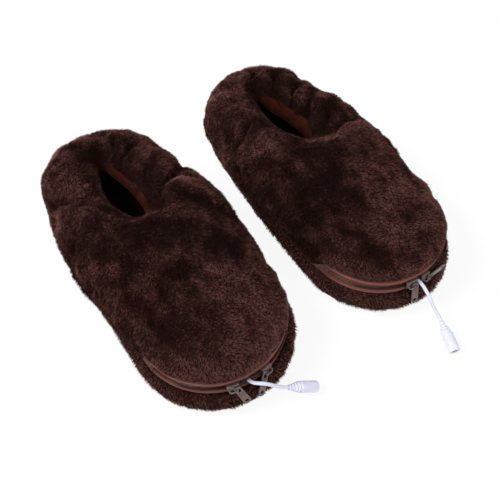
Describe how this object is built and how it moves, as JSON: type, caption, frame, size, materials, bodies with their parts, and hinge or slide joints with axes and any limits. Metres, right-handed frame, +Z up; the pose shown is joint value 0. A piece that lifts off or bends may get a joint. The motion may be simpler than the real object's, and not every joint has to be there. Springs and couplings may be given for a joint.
{
  "type": "heated slippers",
  "caption": "Pair of heated plush slippers with padded slit openings, zipped toes with pull tabs, and short white leads to inline low-voltage sockets.",
  "frame": {"origin": "on the ground at the middle of the pair, below the centre of its box without the leads", "axes": "+Z up, toes towards -Y, the slippers side by side along X"},
  "size_m": [0.3148, 0.3566, 0.0832],
  "materials": {
    "plush": "deep-pile fleece",
    "outsole_cloth": "plain woven cloth",
    "foam": "soft foam",
    "felt": "pressed felt",
    "lining": "smooth knitted lining",
    "heating_wire": "silicone sheath",
    "black_plastic": "matt moulding",
    "zip_tape": "ribbed woven tape",
    "zip_coil": "nylon coil",
    "zip_metal": "satin lacquer on die-cast metal",
    "white_plastic": "satin vinyl",
    "contact_metal": "nickel plate"
  },
  "bodies": {
    "slippers": {"left_outsole": "outsole_cloth", "left_sole_cover": "plush", "left_sole_foam": "foam", "left_footbed": "felt", "left_heating_pad": "felt", "left_heating_wire": "heating_wire", "left_thermostat": "black_plastic", "left_lead_junction": "black_plastic", "left_upper": "plush", "left_lining": "lining", "left_zip_tape_upper": "zip_tape", "left_zip_tape_lower": "zip_tape", "left_zip_coil_upper": "zip_coil", "left_zip_coil_lower": "zip_coil", "left_zip_stop_left": "zip_metal", "left_zip_stop_right": "zip_metal", "left_cord": "white_plastic", "left_connector_body": "white_plastic", "left_connector_contact": "contact_metal", "left_connector_pin": "contact_metal", "right_outsole": "outsole_cloth", "right_sole_cover": "plush", "right_sole_foam": "foam", "right_footbed": "felt", "right_heating_pad": "felt", "right_heating_wire": "heating_wire", "right_thermostat": "black_plastic", "right_lead_junction": "black_plastic", "right_upper": "plush", "right_lining": "lining", "right_zip_tape_upper": "zip_tape", "right_zip_tape_lower": "zip_tape", "right_zip_coil_upper": "zip_coil", "right_zip_coil_lower": "zip_coil", "right_zip_stop_left": "zip_metal", "right_zip_stop_right": "zip_metal", "right_cord": "white_plastic", "right_connector_body": "white_plastic", "right_connector_contact": "contact_metal", "right_connector_pin": "contact_metal"},
    "left_slider_left": {"left_slider_left": "zip_metal"},
    "left_slider_right": {"left_slider_right": "zip_metal"},
    "left_pull_left": {"left_pull_left": "zip_metal"},
    "left_pull_right": {"left_pull_right": "zip_metal"},
    "right_slider_left": {"right_slider_left": "zip_metal"},
    "right_slider_right": {"right_slider_right": "zip_metal"},
    "right_pull_left": {"right_pull_left": "zip_metal"},
    "right_pull_right": {"right_pull_right": "zip_metal"}
  },
  "joints": [
    {"name": "left_slider_left_slides", "type": "hinge", "parent": "slippers", "child": "left_slider_left", "pos_m": [-0.0839, -0.0664, 0.0293], "axis": [0, 0, 1], "range_deg": [-55, 0], "deforming": ["left_zip_coil_upper", "left_zip_coil_lower"]},
    {"name": "left_slider_right_slides", "type": "hinge", "parent": "slippers", "child": "left_slider_right", "pos_m": [-0.0839, -0.0664, 0.0293], "axis": [0, 0, 1], "range_deg": [0, 67], "deforming": ["left_zip_coil_upper", "left_zip_coil_lower"]},
    {"name": "left_pull_left_swings", "type": "hinge", "parent": "left_slider_left", "child": "left_pull_left", "pos_m": [-0.10308, -0.13015, 0.0293], "axis": [0.3156, 0.8913, -0.3256], "range_deg": [0, 62]},
    {"name": "left_pull_right_swings", "type": "hinge", "parent": "left_slider_right", "child": "left_pull_right", "pos_m": [-0.07839, -0.13275, 0.0293], "axis": [-0.1183, 0.8986, -0.4226], "range_deg": [-74, 0]},
    {"name": "right_slider_left_slides", "type": "hinge", "parent": "slippers", "child": "right_slider_left", "pos_m": [0.0839, -0.0796, 0.0293], "axis": [0, 0, 1], "range_deg": [-61.5, 0], "deforming": ["right_zip_coil_upper", "right_zip_coil_lower"]},
    {"name": "right_slider_right_slides", "type": "hinge", "parent": "slippers", "child": "right_slider_right", "pos_m": [0.0839, -0.0796, 0.0293], "axis": [0, 0, 1], "range_deg": [0, 73.5], "deforming": ["right_zip_coil_upper", "right_zip_coil_lower"]},
    {"name": "right_pull_left_swings", "type": "hinge", "parent": "right_slider_left", "child": "right_pull_left", "pos_m": [0.07229, -0.14516, 0.0293], "axis": [0.2095, 0.922, -0.3256], "range_deg": [-5, 37]},
    {"name": "right_pull_right_swings", "type": "hinge", "parent": "right_slider_right", "child": "right_pull_right", "pos_m": [0.08676, -0.14606, 0.0293], "axis": [0, 0, 1], "range_deg": [-95, 0]}
  ]
}
